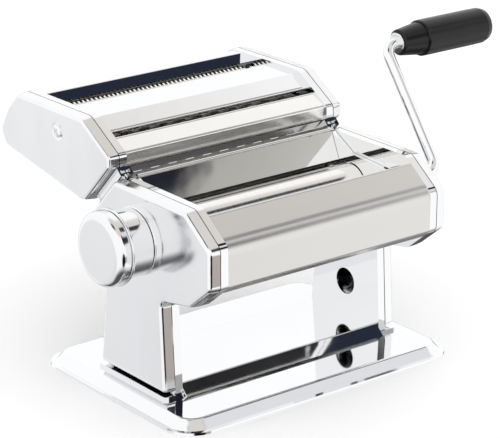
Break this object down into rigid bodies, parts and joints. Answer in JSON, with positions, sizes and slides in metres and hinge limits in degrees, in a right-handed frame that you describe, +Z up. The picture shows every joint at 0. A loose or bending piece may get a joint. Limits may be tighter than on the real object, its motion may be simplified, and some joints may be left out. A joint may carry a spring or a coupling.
{
  "type": "pasta roller machine",
  "caption": "Hand-cranked pasta machine: two smooth rollers in a steel body on a base plate, thickness knob, crank, and a lift-off head with two cutter pairs.",
  "frame": {"origin": "centre of the base plate, on the table that its lip and feet rest on", "axes": "+Z up, +X towards the crank, -Y towards the user at the front cover, +Y towards the cutter head"},
  "size_m": [0.3222, 0.2138, 0.1855],
  "materials": {
    "polished_steel": "mirror polished",
    "satin_steel": "satin, fine grain along the length",
    "roller_steel": "smooth satin",
    "zinc_steel": "bright zinc",
    "gear_steel": "plain cut steel",
    "nylon": "natural nylon",
    "rubber": "matte",
    "black_plastic": "semi-gloss"
  },
  "bodies": {
    "body": {"base_plate": "polished_steel", "rubber_feet": "rubber", "base_screws": "zinc_steel", "bottom_tray": "polished_steel", "right_side_frame": "polished_steel", "left_side_frame": "polished_steel", "right_side_cover": "polished_steel", "left_side_cover": "polished_steel", "cover_posts": "zinc_steel", "front_cover": "satin_steel", "rear_cover": "satin_steel", "hopper_plate": "polished_steel", "tie_rods": "zinc_steel", "tie_rod_screws": "zinc_steel", "roller_end_guards": "polished_steel", "frame_bushes": "nylon", "scrapers": "nylon", "body_rails": "polished_steel", "outer_drive_bush": "nylon", "index_collar": "polished_steel"},
    "carriage": {"bearing_blocks": "nylon", "carriage_tie": "zinc_steel", "cam_pin": "zinc_steel"},
    "front_roller": {"front_roller": "roller_steel", "front_roller_gear": "gear_steel"},
    "rear_roller": {"rear_roller": "roller_steel", "rear_roller_gear": "gear_steel"},
    "thickness_spindle": {"thickness_spindle": "zinc_steel", "spindle_screw": "zinc_steel"},
    "knob": {"knob": "polished_steel", "index_pin": "zinc_steel", "knob_spring": "zinc_steel"},
    "drive": {"drive_shaft": "zinc_steel", "drive_pinion": "gear_steel"},
    "crank": {"crank_rod": "polished_steel", "grip_washers": "polished_steel"},
    "grip": {"crank_grip": "black_plastic", "grip_cap": "black_plastic"},
    "cutter_head": {"cutter_right_frame": "polished_steel", "cutter_left_frame": "polished_steel", "cutter_right_cover": "polished_steel", "cutter_left_cover": "polished_steel", "cutter_cover_posts": "zinc_steel", "cutter_cover_screws": "polished_steel", "cutter_front_cover": "polished_steel", "cutter_middle_cover": "polished_steel", "cutter_rear_cover": "polished_steel", "cutter_channels": "polished_steel", "cutter_tie_rods": "zinc_steel", "cutter_bushes": "nylon", "socket_bushes": "nylon", "combs": "nylon"},
    "fine_drive": {"fine_drive_roller": "roller_steel", "fine_drive_gear": "gear_steel"},
    "fine_idle": {"fine_idle_roller": "roller_steel", "fine_idle_gear": "gear_steel"},
    "wide_drive": {"wide_drive_roller": "roller_steel", "wide_drive_gear": "gear_steel"},
    "wide_idle": {"wide_idle_roller": "roller_steel", "wide_idle_gear": "gear_steel"}
  },
  "joints": [
    {"name": "crank_turn", "type": "hinge", "parent": "body", "child": "drive", "pos_m": [0.085, -0.0357, 0.1044], "axis": [1, 0, 0], "continuous": true},
    {"name": "crank_pull", "type": "slide", "parent": "drive", "child": "crank", "axis": [1, 0, 0], "range_m": [0, 0.03]},
    {"name": "grip_spin", "type": "hinge", "parent": "crank", "child": "grip", "pos_m": [0.165, 0.0155, 0.174], "axis": [1, 0, 0], "continuous": true},
    {"name": "roller_gap", "type": "slide", "parent": "body", "child": "carriage", "axis": [0, 1, 0], "range_m": [0, 0.0022]},
    {"name": "front_roller_spin", "type": "hinge", "parent": "carriage", "child": "front_roller", "pos_m": [0, -0.01, 0.099], "axis": [1, 0, 0], "continuous": true},
    {"name": "rear_roller_spin", "type": "hinge", "parent": "body", "child": "rear_roller", "pos_m": [0, 0.0196, 0.0985], "axis": [1, 0, 0], "continuous": true},
    {"name": "thickness_turn", "type": "hinge", "parent": "body", "child": "thickness_spindle", "pos_m": [-0.095, -0.01, 0.099], "axis": [1, 0, 0], "range_deg": [0, 240]},
    {"name": "knob_pull", "type": "slide", "parent": "thickness_spindle", "child": "knob", "axis": [-1, 0, 0], "range_m": [0, 0.005], "stiffness_N_per_m": 600, "deforming": ["knob_spring"]},
    {"name": "cutter_lift", "type": "slide", "parent": "body", "child": "cutter_head", "axis": [0, -0.6913, 0.7225], "range_m": [0, 0.05]},
    {"name": "fine_drive_spin", "type": "hinge", "parent": "cutter_head", "child": "fine_drive", "pos_m": [0, 0.101, 0.1415], "axis": [1, 0, 0], "continuous": true},
    {"name": "fine_idle_spin", "type": "hinge", "parent": "cutter_head", "child": "fine_idle", "pos_m": [0, 0.083, 0.1415], "axis": [1, 0, 0], "continuous": true},
    {"name": "wide_drive_spin", "type": "hinge", "parent": "cutter_head", "child": "wide_drive", "pos_m": [0, 0.0385, 0.1315], "axis": [1, 0, 0], "continuous": true},
    {"name": "wide_idle_spin", "type": "hinge", "parent": "cutter_head", "child": "wide_idle", "pos_m": [0, 0.0565, 0.1335], "axis": [1, 0, 0], "continuous": true}
  ],
  "couplings": [
    {"joint": "front_roller_spin", "follows": "crank_turn", "ratio": -0.92857},
    {"joint": "rear_roller_spin", "follows": "crank_turn", "ratio": 0.92857},
    {"joint": "roller_gap", "follows": "thickness_turn", "m_per_rad": 0.00052521},
    {"joint": "fine_idle_spin", "follows": "fine_drive_spin", "ratio": -1},
    {"joint": "wide_idle_spin", "follows": "wide_drive_spin", "ratio": -1}
  ]
}
